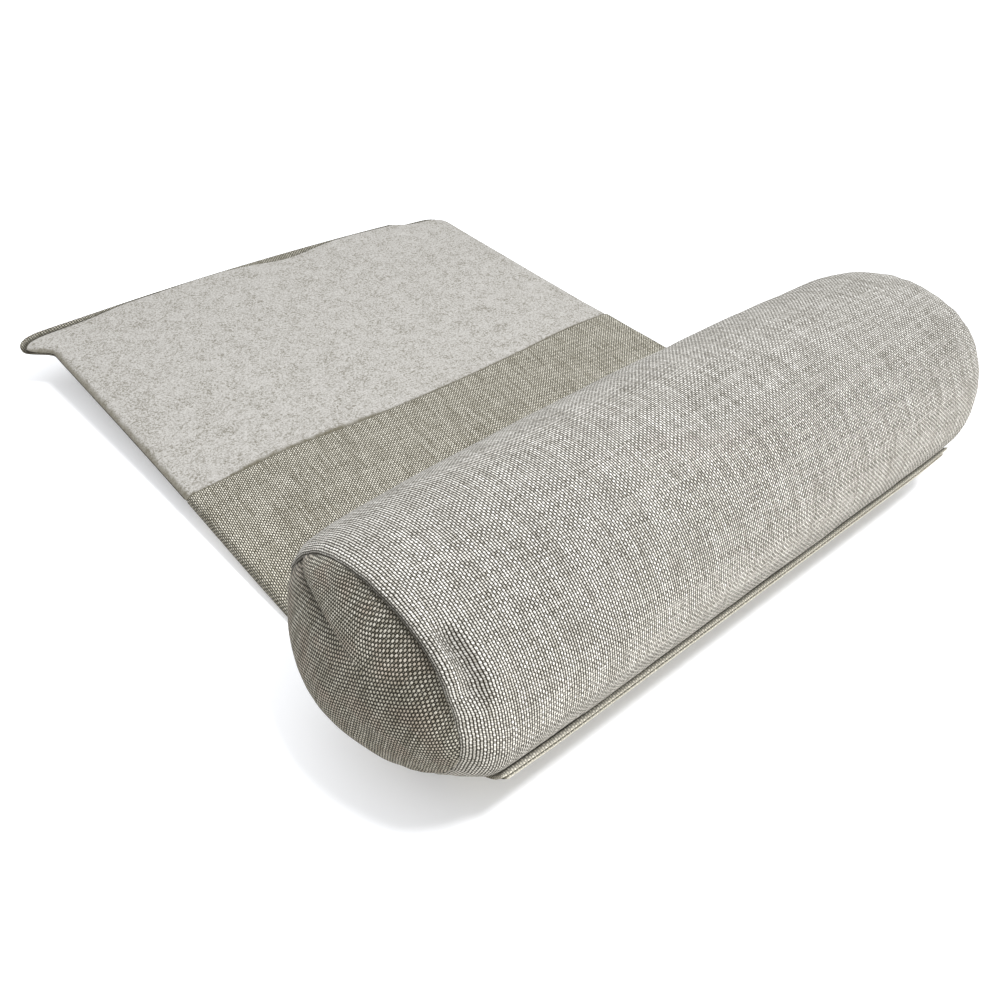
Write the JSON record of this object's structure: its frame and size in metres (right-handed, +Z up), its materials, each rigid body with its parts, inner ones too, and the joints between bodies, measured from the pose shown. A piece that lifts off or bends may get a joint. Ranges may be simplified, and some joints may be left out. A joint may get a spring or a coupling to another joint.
{
  "type": "neck pillow",
  "caption": "Neck pillow: a stuffed woven bolster on a flat woven flap with a felt pocket, which hangs over a backrest as its counterweight.",
  "frame": {"origin": "On the floor under the middle of the bolster, in the flat patch of the flap that carries the pillow.", "axes": "+X along the bolster, towards its right end seen from the front; +Y from the bolster towards the pocket's mouth; +Z up."},
  "size_m": [0.6015, 0.735, 0.174],
  "materials": {
    "woven_wrap": "coarse plain weave, cream and warm grey threads, matte",
    "woven_panel": "coarse plain weave, cream and warm grey threads, matte",
    "woven_back": "coarse plain weave, cream and warm grey threads, matte",
    "woven_strip": "coarse plain weave, cream and warm grey threads, matte",
    "wool_felt": "pressed wool felt, light grey melange, matte"
  },
  "bodies": {
    "root": {"roll_wrap": "woven_wrap", "end_panel_left": "woven_panel", "end_panel_right": "woven_panel", "flap_back": "woven_back", "strip_top": "woven_strip", "pocket_front": "wool_felt"}
  },
  "joints": []
}
